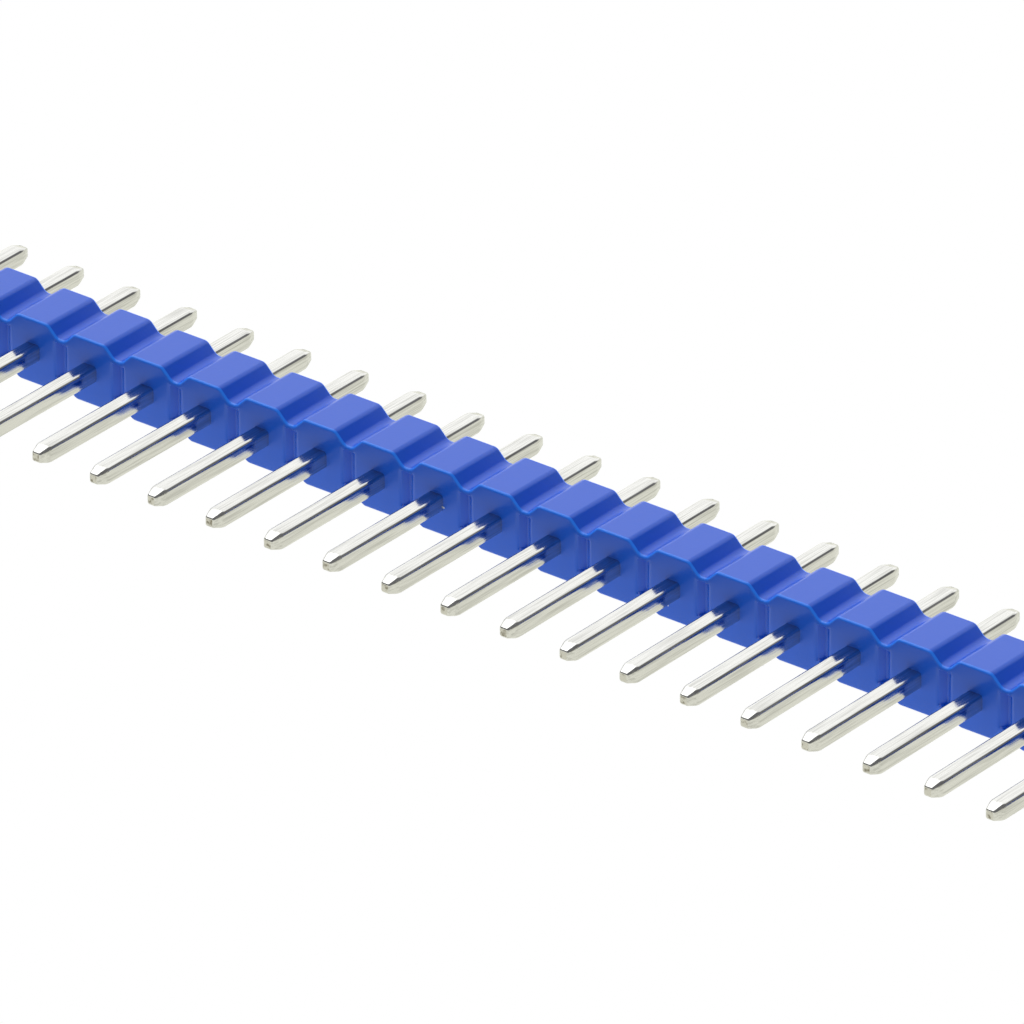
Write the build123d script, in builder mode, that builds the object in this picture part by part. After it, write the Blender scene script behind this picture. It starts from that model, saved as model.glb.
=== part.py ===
from build123d import *
import os

# Single-row 2.54 mm pin header strip, lying on one long side.
# X runs along the row, Y along the pins (long mating ends towards -Y,
# solder tails towards +Y) and Z is up. The origin is the middle of the
# strip's footprint, on the surface it lies on.

# ---- row ----
pitch = 2.54                      # pin to pin, centre to centre
pin_count = 40                    # positions in a full break-away strip

# ---- pins: square wire, both ends pointed ----
pin_side = 0.64                   # across the flats
pin_edge_radius = 0.08            # drawn wire's rounded long edges
mating_length = 5.85              # from the insulator's front face to the tip
tail_length = 3.05                # from the insulator's back face to the tip
tip_taper = 0.52                  # length of the four-sided point
tip_side = 0.30                   # across the blunt cut end

# ---- insulator: one moulded strip ----
body_height = 2.50                # Z, flat to flat
body_depth = 2.54                 # Y, front face to back face
flat_width = 1.36                 # flat land over each pin
notch_depth = 0.42                # 45 degree sides of the snapping notches
rim_radius = 0.08                 # rounded outline of front and back faces

# ---- breaking groove across each neck, front and back ----
groove_mouth = 0.60               # width where it meets the face
groove_floor = 0.10               # width at the bottom
groove_depth = 0.22               # into the face
groove_margin = 0.14              # left whole above and below, under the notches

# ---- fits ----
hole_clearance = 0.0              # the wire is pressed into its hole
hole_side = pin_side + hole_clearance
hole_edge_radius = pin_edge_radius + hole_clearance / 2

# ---- values worked out from the ones above ----
row_length = pitch * pin_count
pin_length = mating_length + body_depth + tail_length
pin_axis_z = body_height / 2
front_y = mating_length - pin_length / 2
back_y = front_y + body_depth
neck_land = pitch - flat_width - 2 * notch_depth
neck_height = body_height - 2 * notch_depth
groove_height = neck_height - 2 * groove_margin
cut_margin = 0.5                  # how far cutting tools run past the faces

# The groove's sloping sides carry on at the same slope outside the face.
groove_slope = (groove_mouth - groove_floor) / groove_depth
groove_outer = groove_mouth + groove_slope * cut_margin

# Planes square to the pins: local X along the row, local Y up, normal -Y.
front_plane = Plane(origin=(0, front_y, pin_axis_z), x_dir=(1, 0, 0), z_dir=(0, -1, 0))
back_plane = Plane(origin=(0, back_y, pin_axis_z), x_dir=(1, 0, 0), z_dir=(0, -1, 0))
tail_end_plane = Plane(
    origin=(0, pin_length / 2, pin_axis_z), x_dir=(1, 0, 0), z_dir=(0, -1, 0)
)

# Level with the lower end of the breaking grooves, facing up.
groove_base_plane = Plane(
    origin=(0, 0, pin_axis_z - groove_height / 2), x_dir=(1, 0, 0), z_dir=(0, 0, 1)
)

os.makedirs("parts", exist_ok=True)

# ---- insulator strip ----
# A bar, notched top and bottom between the pins. The notch is as wide at the
# surface as the gap between two flats and narrows to the neck land.
notch_mouth = neck_land + 2 * notch_depth
half_mouth = notch_mouth / 2
half_land = neck_land / 2

with BuildPart() as insulator_strip:
    with BuildSketch(back_plane):
        Rectangle(row_length, body_height)
        # the two end cells stop at the middle of a neck, so the row of
        # notches runs one past the pins
        with GridLocations(pitch, body_height, pin_count + 1, 2):
            Polygon(
                (-half_mouth, 0),
                (-half_land, -notch_depth),
                (half_land, -notch_depth),
                (half_mouth, 0),
                (half_land, notch_depth),
                (-half_land, notch_depth),
                align=None,
                mode=Mode.SUBTRACT,
            )
    extrude(amount=body_depth)

    # rounded outline at the front and back faces
    face_loops = insulator_strip.faces().filter_by(Axis.Y).edges()
    fillet(face_loops, radius=rim_radius)

    # square holes for the pins, straight through
    with BuildSketch(front_plane):
        with GridLocations(pitch, 0, pin_count, 1):
            RectangleRounded(hole_side, hole_side, hole_edge_radius)
    extrude(amount=-body_depth, mode=Mode.SUBTRACT)

    # shallow breaking grooves across each neck, in the front and back faces
    with BuildSketch(groove_base_plane):
        for face_y, inwards in ((front_y, 1), (back_y, -1)):
            with Locations((0, face_y)):
                with GridLocations(pitch, 0, pin_count + 1, 1):
                    Polygon(
                        (-groove_outer / 2, -inwards * cut_margin),
                        (-groove_floor / 2, inwards * groove_depth),
                        (groove_floor / 2, inwards * groove_depth),
                        (groove_outer / 2, -inwards * cut_margin),
                        align=None,
                    )
    extrude(amount=groove_height, mode=Mode.SUBTRACT)

insulator_strip.part.label = "insulator_strip"
export_step(insulator_strip.part, "parts/insulator_strip.step")

# ---- pins ----
# Each pin is a length of rounded square wire. Its outline seen from the side
# and from above is the same: a long bar that tapers to a blunt end both ways.
half_length = pin_length / 2
taper_start = half_length - tip_taper
half_side = pin_side / 2
half_tip = tip_side / 2

for number in range(1, pin_count + 1):
    pin_x = (number - (pin_count + 1) / 2) * pitch

    with BuildPart() as pin:
        with BuildSketch(tail_end_plane):
            with Locations((pin_x, 0)):
                RectangleRounded(pin_side, pin_side, pin_edge_radius)
        extrude(amount=pin_length)

        # points: keep only what lies inside the outline from both sides
        side_plane = Plane(origin=(pin_x, 0, pin_axis_z), x_dir=(0, 1, 0), z_dir=(1, 0, 0))
        top_plane = Plane(origin=(pin_x, 0, pin_axis_z), x_dir=(0, 1, 0), z_dir=(0, 0, 1))
        for outline_plane in (side_plane, top_plane):
            with BuildSketch(outline_plane):
                Polygon(
                    (-half_length, -half_tip),
                    (-taper_start, -half_side),
                    (taper_start, -half_side),
                    (half_length, -half_tip),
                    (half_length, half_tip),
                    (taper_start, half_side),
                    (-taper_start, half_side),
                    (-half_length, half_tip),
                    align=None,
                )
            extrude(amount=half_side, both=True, mode=Mode.INTERSECT)

    node_name = f"pin_{number:02d}"
    pin.part.label = node_name
    export_step(pin.part, f"parts/{node_name}.step")
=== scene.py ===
import math
import bmesh
import bpy
from mathutils import Matrix, Vector


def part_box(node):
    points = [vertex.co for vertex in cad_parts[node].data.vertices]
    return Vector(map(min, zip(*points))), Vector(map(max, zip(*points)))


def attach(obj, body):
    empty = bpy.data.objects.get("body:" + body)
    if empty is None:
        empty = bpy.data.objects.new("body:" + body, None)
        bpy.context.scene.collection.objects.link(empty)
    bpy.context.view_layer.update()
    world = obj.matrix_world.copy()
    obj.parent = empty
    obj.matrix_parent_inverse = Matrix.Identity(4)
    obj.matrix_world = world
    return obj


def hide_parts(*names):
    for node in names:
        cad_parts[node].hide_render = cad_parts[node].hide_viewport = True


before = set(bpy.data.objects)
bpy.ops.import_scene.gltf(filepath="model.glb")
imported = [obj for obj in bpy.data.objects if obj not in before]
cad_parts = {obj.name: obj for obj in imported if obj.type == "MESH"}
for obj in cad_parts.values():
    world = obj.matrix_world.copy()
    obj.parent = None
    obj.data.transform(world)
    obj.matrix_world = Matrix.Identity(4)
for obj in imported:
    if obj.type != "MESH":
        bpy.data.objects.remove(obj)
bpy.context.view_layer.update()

# ---------------------------------------------------------------- insulator strip
# One injection moulding in blue polyester: a bar notched top and bottom between
# the pins, with a shallow breaking groove across each neck, front and back.
# Everything else is pressed into it.
mm = 0.001
pitch = 2.54 * mm
pin_count = len([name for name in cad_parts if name.startswith("pin_")])
strip_low, strip_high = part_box("insulator_strip")
front_y = strip_low[1]
back_y = strip_high[1]
body_height = strip_high[2] - strip_low[2]
axis_z = (strip_high[2] + strip_low[2]) / 2
flat_width = 1.36 * mm
notch_depth = 0.42 * mm
corner_round = 0.12 * mm
rim_round = 0.11 * mm
groove_mouth = 0.60 * mm
groove_floor = 0.10 * mm
groove_depth = 0.22 * mm
groove_height = 1.38 * mm
groove_end_slope = 0.05 * mm
hair = 0.002 * mm

half_pitch = pitch / 2
half_flat = flat_width / 2
half_height = body_height / 2
half_neck = half_height - notch_depth
land_start = half_flat + notch_depth

# one cell: its outline, seen along the pins, from neck to neck
cell = bmesh.new()
outline = []
for side in (1, -1):
    for x, z in (
        (-half_pitch, half_neck), (-land_start, half_neck), (-half_flat, half_height),
        (half_flat, half_height), (land_start, half_neck), (half_pitch, half_neck),
    ):
        outline.append(cell.verts.new((side * x, front_y, axis_z + side * z)))
cell.faces.new(outline)
corners = [v for v in cell.verts if abs(v.co.x) < half_pitch - hair]
bmesh.ops.bevel(cell, geom=corners, affect="VERTICES", offset=corner_round,
                offset_type="OFFSET", segments=5, profile=0.5, material=-1)
back = bmesh.ops.extrude_face_region(cell, geom=cell.faces[:])
bmesh.ops.translate(cell, vec=(0, back_y - front_y, 0),
                    verts=[g for g in back["geom"] if isinstance(g, bmesh.types.BMVert)])
joints = [f for f in cell.faces if abs(f.calc_center_median().x) > half_pitch - hair]
bmesh.ops.delete(cell, geom=joints, context="FACES_ONLY")
bmesh.ops.recalc_face_normals(cell, faces=cell.faces)

# rounded outline on both faces
rims = [e for e in cell.edges
        if len(e.link_faces) == 2 and abs(e.verts[0].co.y - e.verts[1].co.y) < hair
        and any(abs(f.normal.y) > 0.9 for f in e.link_faces)]
bmesh.ops.bevel(cell, geom=rims, affect="EDGES", offset=rim_round, offset_type="OFFSET",
                segments=5, profile=0.5, clamp_overlap=True, material=-1)

# breaking grooves: the two halves beside this cell
mouth_x = half_pitch - groove_mouth / 2
floor_x = half_pitch - groove_floor / 2
end_z = groove_height / 2
for face_y, inwards in ((front_y, 1), (back_y, -1)):
    cuts = [((s * x, 0, 0), (1, 0, 0)) for s in (1, -1) for x in (mouth_x, floor_x)]
    cuts += [((0, 0, axis_z + s * z), (0, 0, 1))
             for s in (1, -1) for z in (end_z, end_z - groove_end_slope)]
    for point, normal in cuts:
        flat = [f for f in cell.faces if abs(f.calc_center_median().y - face_y) < hair
                and abs(f.normal.y) > 0.99]
        parts = flat + list({e for f in flat for e in f.edges}) + list({v for f in flat for v in f.verts})
        bmesh.ops.bisect_plane(cell, geom=parts, dist=hair / 10, plane_co=point, plane_no=normal)
    floor = [v for v in cell.verts if abs(v.co.y - face_y) < hair and abs(v.co.x) > floor_x - hair
             and abs(v.co.z - axis_z) < end_z - groove_end_slope + hair]
    bmesh.ops.translate(cell, vec=(0, inwards * groove_depth, 0), verts=floor)
    lips = [e for e in cell.edges
            if all(abs(v.co.y - face_y) < hair and abs(v.co.z - axis_z) < end_z + hair
                   and abs(abs(v.co.x) - mouth_x) < hair for v in e.verts)
            and abs(e.verts[0].co.z - e.verts[1].co.z) > hair]
    bmesh.ops.bevel(cell, geom=lips, affect="EDGES", offset=0.09 * mm, offset_type="OFFSET",
                    segments=4, profile=0.5, clamp_overlap=True, material=-1)

# the square hole that the pin is pressed into, straight through
hole_side = 0.57 * mm
for face_y in (front_y, back_y):
    for normal in ((1, 0, 0), (0, 0, 1)):
        for side in (1, -1):
            flat = [f for f in cell.faces if abs(f.calc_center_median().y - face_y) < hair
                    and abs(f.normal.y) > 0.99]
            parts = flat + list({e for f in flat for e in f.edges}) + list({v for f in flat for v in f.verts})
            point = Vector((0, 0, axis_z)) + Vector(normal) * side * hole_side / 2
            bmesh.ops.bisect_plane(cell, geom=parts, dist=hair / 10, plane_co=point, plane_no=normal)
plugs = [f for f in cell.faces
         if all(max(abs(v.co.x), abs(v.co.z - axis_z)) < hole_side / 2 + hair for v in f.verts)]
bmesh.ops.delete(cell, geom=plugs, context="FACES")
mouths = [e for e in cell.edges if e.is_boundary
          and all(max(abs(v.co.x), abs(v.co.z - axis_z)) < hole_side / 2 + hair for v in e.verts)]
bmesh.ops.bridge_loops(cell, edges=mouths)

# the row of cells, joined neck to neck and closed at both ends
strip = bmesh.new()
cell_mesh = bpy.data.meshes.new("cell")
cell.to_mesh(cell_mesh)
cell.free()
for number in range(pin_count):
    before = len(strip.verts)
    strip.from_mesh(cell_mesh)
    strip.verts.ensure_lookup_table()
    bmesh.ops.translate(strip, vec=((number - (pin_count - 1) / 2) * pitch, 0, 0),
                        verts=strip.verts[before:])
bpy.data.meshes.remove(cell_mesh)
bmesh.ops.remove_doubles(strip, verts=strip.verts, dist=hair / 2)
bmesh.ops.holes_fill(strip, edges=[e for e in strip.edges if e.is_boundary], sides=0)
bmesh.ops.recalc_face_normals(strip, faces=strip.faces)
strip_mesh = bpy.data.meshes.new("insulator_moulding")
strip.to_mesh(strip_mesh)
strip.free()
strip_mesh.shade_smooth()
strip_mesh.set_sharp_from_angle(angle=math.radians(42))

# painted highlight along the rounded rims: a weight, strongest mid-rim and on the upper rims, that the
# material turns into a lighter blue and a faint blue glow in place of light
painted_rim_highlight = strip_mesh.attributes.new("painted_rim_highlight", "FLOAT", "POINT")
for vertex in strip_mesh.vertices:
    into = min(vertex.co.y - front_y, back_y - vertex.co.y)
    on_rim = hair < into < rim_round - hair and abs(vertex.co.z - axis_z) > half_neck - rim_round
    painted_highlight_strength = 0.62 if vertex.co.z > axis_z else 0.15
    painted_rim_highlight.data[vertex.index].value = painted_highlight_strength * math.sin(math.pi * into / rim_round) if on_rim else 0.0
moulding = bpy.data.objects.new("insulator_moulding", strip_mesh)
bpy.context.scene.collection.objects.link(moulding)
even = moulding.modifiers.new("even_shading", "WEIGHTED_NORMAL")
even.keep_sharp = True

# dust and stains: a few small round specks, far apart
specks = bpy.data.node_groups.new("sparse_specks", "ShaderNodeTree")
for name, kind, in_out in (("Scale", "NodeSocketFloat", "INPUT"), ("Radius", "NodeSocketFloat", "INPUT"),
                           ("Rarity", "NodeSocketFloat", "INPUT"), ("Mask", "NodeSocketFloat", "OUTPUT")):
    specks.interface.new_socket(name=name, in_out=in_out, socket_type=kind)
given = specks.nodes.new("NodeGroupInput")
made = specks.nodes.new("NodeGroupOutput")
place = specks.nodes.new("ShaderNodeTexCoord")
cells = specks.nodes.new("ShaderNodeTexVoronoi")
shade = specks.nodes.new("ShaderNodeSeparateColor")
near = specks.nodes.new("ShaderNodeMath")
near.operation = "LESS_THAN"
rare = specks.nodes.new("ShaderNodeMath")
rare.operation = "GREATER_THAN"
both = specks.nodes.new("ShaderNodeMath")
both.operation = "MULTIPLY"
specks.links.new(place.outputs["Object"], cells.inputs["Vector"])
specks.links.new(given.outputs["Scale"], cells.inputs["Scale"])
specks.links.new(cells.outputs["Color"], shade.inputs["Color"])
specks.links.new(cells.outputs["Distance"], near.inputs[0])
specks.links.new(given.outputs["Radius"], near.inputs[1])
specks.links.new(shade.outputs["Red"], rare.inputs[0])
specks.links.new(given.outputs["Rarity"], rare.inputs[1])
specks.links.new(near.outputs["Value"], both.inputs[0])
specks.links.new(rare.outputs["Value"], both.inputs[1])
specks.links.new(both.outputs["Value"], made.inputs["Mask"])

blue = bpy.data.materials.new("blue_polyester")
blue.use_nodes = True
nodes, links = blue.node_tree.nodes, blue.node_tree.links
skin = nodes["Principled BSDF"]
skin.inputs["Roughness"].default_value = 0.28
skin.inputs["IOR"].default_value = 1.47
# painted highlight: the rim weight mixes a lighter blue into the base colour and adds a blue glow
rim_highlight_weight = nodes.new("ShaderNodeAttribute")
rim_highlight_weight.attribute_name = "painted_rim_highlight"
painted_highlight_blue = nodes.new("ShaderNodeMix")
painted_highlight_blue.data_type = "RGBA"
painted_highlight_blue.inputs["A"].default_value = (0.003, 0.108, 0.76, 1)
painted_highlight_blue.inputs["B"].default_value = (0.02, 0.24, 1.0, 1)
links.new(rim_highlight_weight.outputs["Fac"], painted_highlight_blue.inputs["Factor"])
painted_highlight_glow = nodes.new("ShaderNodeMix")
painted_highlight_glow.data_type = "RGBA"
painted_highlight_glow.inputs["A"].default_value = (0, 0, 0, 1)
painted_highlight_glow.inputs["B"].default_value = (0.012, 0.085, 0.34, 1)
links.new(rim_highlight_weight.outputs["Fac"], painted_highlight_glow.inputs["Factor"])
links.new(painted_highlight_glow.outputs["Result"], skin.inputs["Emission Color"])
skin.inputs["Emission Strength"].default_value = 1.0
dust = nodes.new("ShaderNodeGroup")
dust.node_tree = specks
dust.inputs["Scale"].default_value = 2600
dust.inputs["Radius"].default_value = 0.10
dust.inputs["Rarity"].default_value = 0.975
dusty = nodes.new("ShaderNodeMix")
dusty.data_type = "RGBA"
dusty.inputs["B"].default_value = (0.55, 0.62, 0.85, 1)
links.new(dust.outputs["Mask"], dusty.inputs["Factor"])
links.new(painted_highlight_blue.outputs["Result"], dusty.inputs["A"])
links.new(dusty.outputs["Result"], skin.inputs["Base Color"])
place = nodes.new("ShaderNodeTexCoord")
grain = nodes.new("ShaderNodeTexNoise")
grain.inputs["Scale"].default_value = 9000
grain.inputs["Detail"].default_value = 4
links.new(place.outputs["Object"], grain.inputs["Vector"])
dents = nodes.new("ShaderNodeBump")
dents.inputs["Strength"].default_value = 0.25
dents.inputs["Distance"].default_value = 0.00001
links.new(grain.outputs["Fac"], dents.inputs["Height"])
links.new(dents.outputs["Normal"], skin.inputs["Normal"])
moulding.data.materials.append(blue)
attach(moulding, "root")
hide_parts("insulator_strip")

# ---------------------------------------------------------------- pins
# Forty lengths of square brass wire, tin plated, each pointed at both ends by
# the cutter and pressed through its hole in the insulator.
pin_side = 0.64 * mm
edge_round = 0.14 * mm
tip_side = 0.36 * mm
tip_taper = 0.42 * mm

tin = bpy.data.materials.new("bright_tin")
tin.use_nodes = True
nodes, links = tin.node_tree.nodes, tin.node_tree.links
plate = nodes["Principled BSDF"]
plate.inputs["Metallic"].default_value = 1.0
place = nodes.new("ShaderNodeTexCoord")
along = nodes.new("ShaderNodeMapping")
along.inputs["Scale"].default_value = (1, 0.03, 1)
links.new(place.outputs["Object"], along.inputs["Vector"])
draw_lines = nodes.new("ShaderNodeTexNoise")
draw_lines.inputs["Scale"].default_value = 16000
draw_lines.inputs["Detail"].default_value = 3
links.new(along.outputs["Vector"], draw_lines.inputs["Vector"])
drawn = nodes.new("ShaderNodeMapRange")
drawn.inputs["From Min"].default_value = 0.35
drawn.inputs["From Max"].default_value = 0.68
drawn.inputs["To Min"].default_value = 0.08
drawn.inputs["To Max"].default_value = 0.20
links.new(draw_lines.outputs["Fac"], drawn.inputs["Value"])
links.new(drawn.outputs["Result"], plate.inputs["Roughness"])
streaks = nodes.new("ShaderNodeValToRGB")
streaks.color_ramp.elements[0].position = 0.34
streaks.color_ramp.elements[0].color = (0.50, 0.50, 0.475, 1)
streaks.color_ramp.elements[1].position = 0.56
streaks.color_ramp.elements[1].color = (0.66, 0.66, 0.635, 1)
links.new(draw_lines.outputs["Fac"], streaks.inputs["Fac"])
stains = nodes.new("ShaderNodeGroup")
stains.node_tree = specks
stains.inputs["Scale"].default_value = 1500
stains.inputs["Radius"].default_value = 0.16
stains.inputs["Rarity"].default_value = 0.992
stained = nodes.new("ShaderNodeMix")
stained.data_type = "RGBA"
stained.inputs["B"].default_value = (0.42, 0.30, 0.15, 1)
links.new(stains.outputs["Mask"], stained.inputs["Factor"])
links.new(streaks.outputs["Color"], stained.inputs["A"])
links.new(stained.outputs["Result"], plate.inputs["Base Color"])
scratches = nodes.new("ShaderNodeBump")
scratches.inputs["Strength"].default_value = 0.3
scratches.inputs["Distance"].default_value = 0.000006
links.new(draw_lines.outputs["Fac"], scratches.inputs["Height"])
links.new(scratches.outputs["Normal"], plate.inputs["Normal"])

cut_end = bpy.data.materials.new("sheared_end")
cut_end.use_nodes = True
nodes, links = cut_end.node_tree.nodes, cut_end.node_tree.links
sheared = nodes["Principled BSDF"]
sheared.inputs["Metallic"].default_value = 1.0
sheared.inputs["Roughness"].default_value = 0.42
place = nodes.new("ShaderNodeTexCoord")
tear = nodes.new("ShaderNodeTexNoise")
tear.inputs["Scale"].default_value = 5200
tear.inputs["Detail"].default_value = 5
links.new(place.outputs["Object"], tear.inputs["Vector"])
stain = nodes.new("ShaderNodeValToRGB")
stain.color_ramp.elements[0].position = 0.36
stain.color_ramp.elements[0].color = (0.26, 0.24, 0.19, 1)
stain.color_ramp.elements[1].position = 0.50
stain.color_ramp.elements[1].color = (0.62, 0.61, 0.56, 1)
links.new(tear.outputs["Fac"], stain.inputs["Fac"])
links.new(stain.outputs["Color"], sheared.inputs["Base Color"])
ridges = nodes.new("ShaderNodeBump")
ridges.inputs["Strength"].default_value = 0.6
ridges.inputs["Distance"].default_value = 0.00004
links.new(tear.outputs["Fac"], ridges.inputs["Height"])
links.new(ridges.outputs["Normal"], sheared.inputs["Normal"])

for number in range(1, pin_count + 1):
    node = f"pin_{number:02d}"
    low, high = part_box(node)
    middle = ((low[0] + high[0]) / 2, (low[2] + high[2]) / 2)
    wire = bmesh.new()
    half_tip = tip_side / 2
    square = [wire.verts.new((x * half_tip, low[1], z * half_tip))
              for x, z in ((-1, -1), (1, -1), (1, 1), (-1, 1))]
    end = wire.faces.new(square)
    bmesh.ops.bevel(wire, geom=square, affect="VERTICES", offset=edge_round * tip_side / pin_side,
                    offset_type="OFFSET", segments=4, profile=0.5, material=-1)
    grow = pin_side / tip_side
    for step_y, scale in ((tip_taper, grow), (high[1] - low[1] - 2 * tip_taper, 1), (tip_taper, 1 / grow)):
        end = max((f for f in wire.faces if len(f.verts) > 4), key=lambda f: f.calc_center_median().y)
        inside = end.calc_center_median().y > low[1] + hair
        moved = bmesh.ops.extrude_face_region(wire, geom=[end])
        ring = [g for g in moved["geom"] if isinstance(g, bmesh.types.BMVert)]
        if inside and end.is_valid:
            bmesh.ops.delete(wire, geom=[end], context="FACES_ONLY")
        bmesh.ops.translate(wire, vec=(0, step_y, 0), verts=ring)
        bmesh.ops.scale(wire, vec=(scale, 1, scale), verts=ring)
    bmesh.ops.translate(wire, vec=(middle[0], 0, middle[1]), verts=wire.verts)
    bmesh.ops.recalc_face_normals(wire, faces=wire.faces)
    for at, softness, steps in ((0, 0.05 * mm, 3), (tip_taper, 0.09 * mm, 3)):
        rings = [e for e in wire.edges
                 if all(abs(min(v.co.y - low[1], high[1] - v.co.y) - at) < hair for v in e.verts)
                 and abs(e.verts[0].co.y - e.verts[1].co.y) < hair]
        bmesh.ops.bevel(wire, geom=rings, affect="EDGES", offset=softness, offset_type="OFFSET",
                        segments=steps, profile=0.5, clamp_overlap=True, material=-1)
    wire_mesh = bpy.data.meshes.new(f"wire_{number:02d}")
    wire.to_mesh(wire_mesh)
    wire.free()
    wire_mesh.shade_smooth()
    wire_mesh.set_sharp_from_angle(angle=math.radians(40))
    pin = bpy.data.objects.new(f"wire_{number:02d}", wire_mesh)
    bpy.context.scene.collection.objects.link(pin)
    even = pin.modifiers.new("even_shading", "WEIGHTED_NORMAL")
    even.keep_sharp = True
    pin.data.materials.append(tin)
    pin.data.materials.append(cut_end)
    for face in pin.data.polygons:
        if len(face.vertices) > 8 and abs(face.normal.y) > 0.99:
            face.material_index = 1
    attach(pin, "root")
    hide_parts(node)

# ---------------------------------------------------------------- white surroundings
# A white sheet below and a soft box behind to the left, in a dimmer room. What
# is seen behind the strip is plain white.
world = bpy.data.worlds.new("light_tent")
bpy.context.scene.world = world
world.use_nodes = True
nodes, links = world.node_tree.nodes, world.node_tree.links
room = nodes["Background"]
ray = nodes.new("ShaderNodeLightPath")
towards = nodes.new("ShaderNodeTexCoord")


def glow(colour_under, direction, colour, full_angle, zero_angle):
    """Lays a soft-edged patch of light, centred on a direction, over the room."""
    facing = nodes.new("ShaderNodeVectorMath")
    facing.operation = "DOT_PRODUCT"
    facing.inputs[1].default_value = Vector(direction).normalized()
    links.new(towards.outputs["Generated"], facing.inputs[0])
    edge = nodes.new("ShaderNodeMapRange")
    edge.interpolation_type = "SMOOTHSTEP"
    edge.inputs["From Min"].default_value = math.cos(math.radians(zero_angle))
    edge.inputs["From Max"].default_value = math.cos(math.radians(full_angle))
    links.new(facing.outputs["Value"], edge.inputs["Value"])
    over = nodes.new("ShaderNodeMix")
    over.data_type = "RGBA"
    links.new(edge.outputs["Result"], over.inputs["Factor"])
    if isinstance(colour_under, tuple):
        over.inputs["A"].default_value = colour_under
    else:
        links.new(colour_under, over.inputs["A"])
    over.inputs["B"].default_value = colour
    return over.outputs["Result"]


light = (0.20, 0.20, 0.21, 1)
light = glow(light, (-0.50, 0.72, 0.48), (1.38, 1.38, 1.38, 1), 36, 54)
light = glow(light, (-0.50, 0.02, 0.87), (2.4, 2.4, 2.4, 1), 20, 32)
light = glow(light, (0, 0, -1), (1.0, 1.0, 0.90, 1), 84, 99)
backdrop = nodes.new("ShaderNodeMix")
backdrop.data_type = "RGBA"
links.new(ray.outputs["Is Camera Ray"], backdrop.inputs["Factor"])
links.new(light, backdrop.inputs["A"])
backdrop.inputs["B"].default_value = (1, 1, 1, 1)
links.new(backdrop.outputs["Result"], room.inputs["Color"])
room.inputs["Strength"].default_value = 1.0

# ---------------------------------------------------------------- camera
# A long lens, above and to the right of the strip, looking at its middle.
seen_pin_low, seen_pin_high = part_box("pin_20")
seen_x = (seen_pin_low[0] + seen_pin_high[0]) / 2
lens = bpy.data.cameras.new("long_lens")
lens.sensor_width = 36
lens.lens = 610.6
lens.shift_x = 0.0038
lens.shift_y = 0.0015
lens.clip_start = 0.05
lens.clip_end = 5
camera = bpy.data.objects.new("long_lens", lens)
right = Vector((0.78049743, 0.62509165, -0.00917589))
down = Vector((0.28891917, -0.37368663, -0.88141024))
ahead = Vector((-0.55439109, 0.68528734, -0.47226241))
camera.matrix_world = Matrix.Translation(
    Vector((324.347, -400.195, 276.342)) * mm + Vector((seen_x, front_y, axis_z))
) @ Matrix((right, -down, -ahead)).transposed().to_4x4()
bpy.context.scene.collection.objects.link(camera)
bpy.context.scene.camera = camera
bpy.context.scene.view_settings.view_transform = "Standard"
